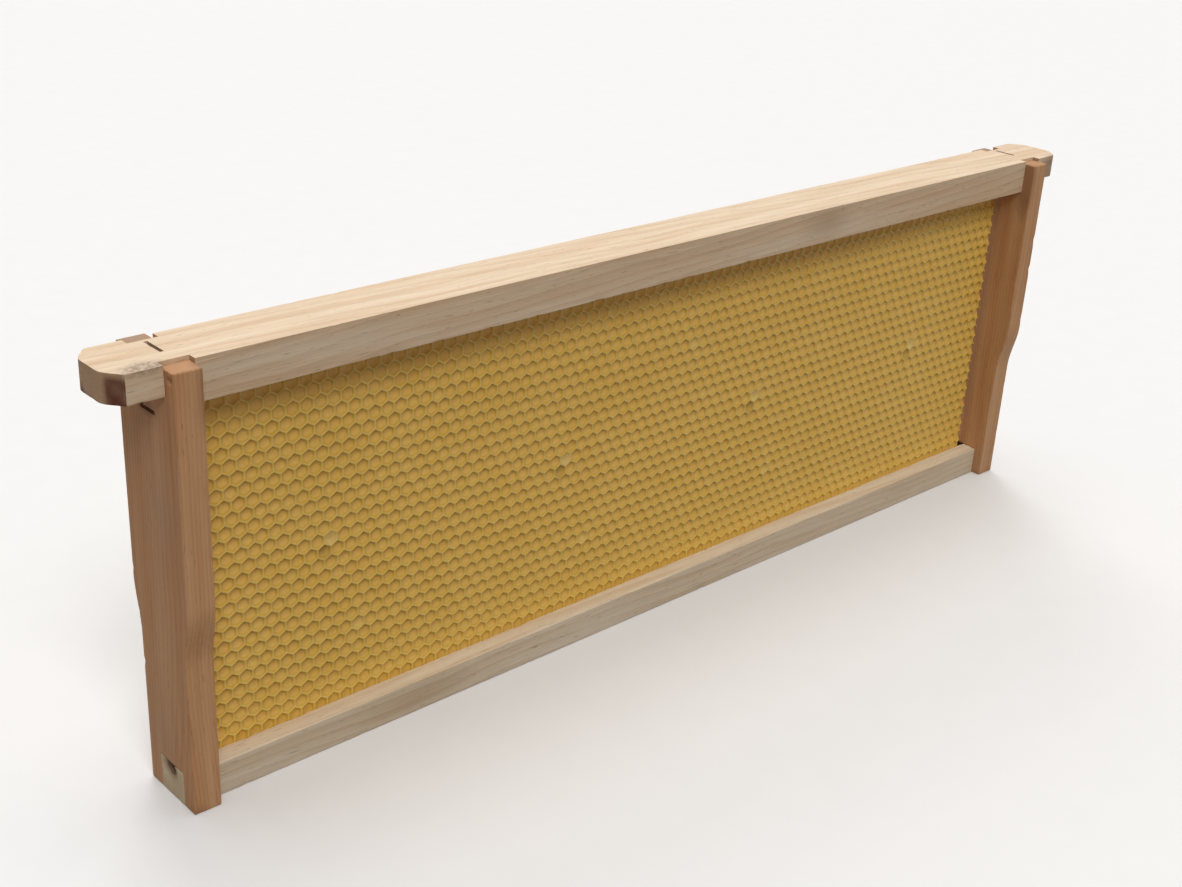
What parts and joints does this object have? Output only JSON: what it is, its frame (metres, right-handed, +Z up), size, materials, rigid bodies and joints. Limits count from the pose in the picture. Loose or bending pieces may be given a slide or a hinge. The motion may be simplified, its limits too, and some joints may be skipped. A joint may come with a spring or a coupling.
{
  "type": "langstroth hive frame",
  "caption": "Upright wooden hive frame: top bar with lugs, self-spacing end bars, bottom bar and a honeycomb-embossed foundation sheet held in grooves.",
  "frame": {"origin": "middle of the frame's underside, on the foundation sheet's middle plane", "axes": "+X along the bars, +Z up as the frame hangs in the hive, Y across the frame"},
  "size_m": [0.4826, 0.0348, 0.1587],
  "materials": {
    "bar_wood": "planed bare pine",
    "end_bar_wood": "planed bare pine, slightly redder",
    "foundation": "moulded, thinly wax coated",
    "staple_steel": "galvanised wire, dulled"
  },
  "bodies": {
    "root": {"top_bar": "bar_wood", "bottom_bar": "bar_wood", "left_end_bar": "end_bar_wood", "right_end_bar": "end_bar_wood", "foundation_sheet": "foundation", "top_staple_left": "staple_steel", "top_staple_right": "staple_steel", "side_staple_left": "staple_steel", "side_staple_right": "staple_steel", "bottom_staple_left": "staple_steel", "bottom_staple_right": "staple_steel"}
  },
  "joints": []
}
